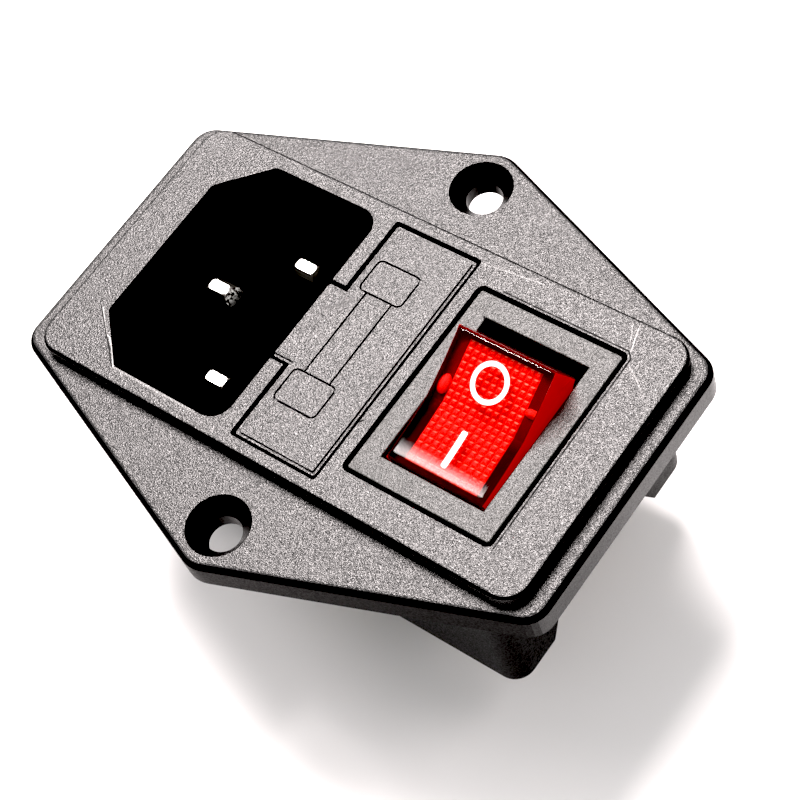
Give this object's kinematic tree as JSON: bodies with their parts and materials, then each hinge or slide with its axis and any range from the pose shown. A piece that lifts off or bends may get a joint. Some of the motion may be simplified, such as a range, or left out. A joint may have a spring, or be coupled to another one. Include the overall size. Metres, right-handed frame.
{
  "type": "power entry module",
  "caption": "Panel-mount mains power entry module: recessed three-blade inlet, sliding fuse drawer and illuminated rocker switch in one flanged black housing.",
  "frame": {"origin": "midway between the two mounting holes, on the back face of the flange", "axes": "+Z out of the front along the screws, +X along the length towards the rocker switch, +Y towards a mounting hole"},
  "size_m": [0.0588, 0.0486, 0.0317],
  "materials": {
    "black_plastic": "black moulding with a fine spark-eroded texture",
    "switch_plastic": "black moulding, finer matt texture",
    "plated_brass": "nickel plated, lightly scuffed",
    "bare_brass": "stamped strip, dull",
    "clear_glass": "clear",
    "fuse_element": "drawn wire",
    "silver_contact": "silver rivet",
    "red_lens": "translucent red with a prismatic underside",
    "white_nylon": "natural nylon",
    "spring_steel": "bright spring wire",
    "resistor_body": "lacquered"
  },
  "bodies": {
    "module": {"housing": "black_plastic", "rear_plate": "black_plastic", "line_pin": "plated_brass", "neutral_pin": "plated_brass", "earth_pin": "plated_brass", "line_fuse_clip": "bare_brass", "load_fuse_clip": "bare_brass", "switch_body": "switch_plastic", "centre_terminal": "bare_brass", "load_terminal": "bare_brass", "fixed_contact": "silver_contact", "lamp_terminal": "bare_brass"},
    "drawer": {"fuse_drawer": "black_plastic", "fuse_tube": "clear_glass", "fuse_caps": "plated_brass", "fuse_wire": "fuse_element"},
    "rocker": {"rocker_cap": "red_lens", "plunger_spring": "spring_steel", "neon_bulb": "clear_glass", "neon_electrodes": "fuse_element", "lamp_resistor": "resistor_body", "lamp_leads": "plated_brass"},
    "plunger": {"switch_plunger": "white_nylon"},
    "lever": {"contact_lever": "bare_brass", "moving_contact": "silver_contact"}
  },
  "joints": [
    {"name": "rocker_hinge", "type": "hinge", "parent": "module", "child": "rocker", "pos_m": [0.01479, 0, 0.00135], "axis": [1, 0, 0], "range_deg": [-35, 0]},
    {"name": "lever_hinge", "type": "hinge", "parent": "module", "child": "lever", "pos_m": [0.01479, 0, -0.00444], "axis": [1, 0, 0], "range_deg": [0, 18]},
    {"name": "plunger_slide", "type": "slide", "parent": "rocker", "child": "plunger", "axis": [0, -0.3007, 0.9537], "range_m": [0, 0.0008], "stiffness_N_per_m": 60, "springref_m": -0.0005, "deforming": ["plunger_spring"]},
    {"name": "drawer_slide", "type": "slide", "parent": "module", "child": "drawer", "axis": [0, 0, 1], "range_m": [0, 0.0195]}
  ],
  "couplings": [
    {"joint": "lever_hinge", "follows": "rocker_hinge", "ratio": -0.51429}
  ]
}
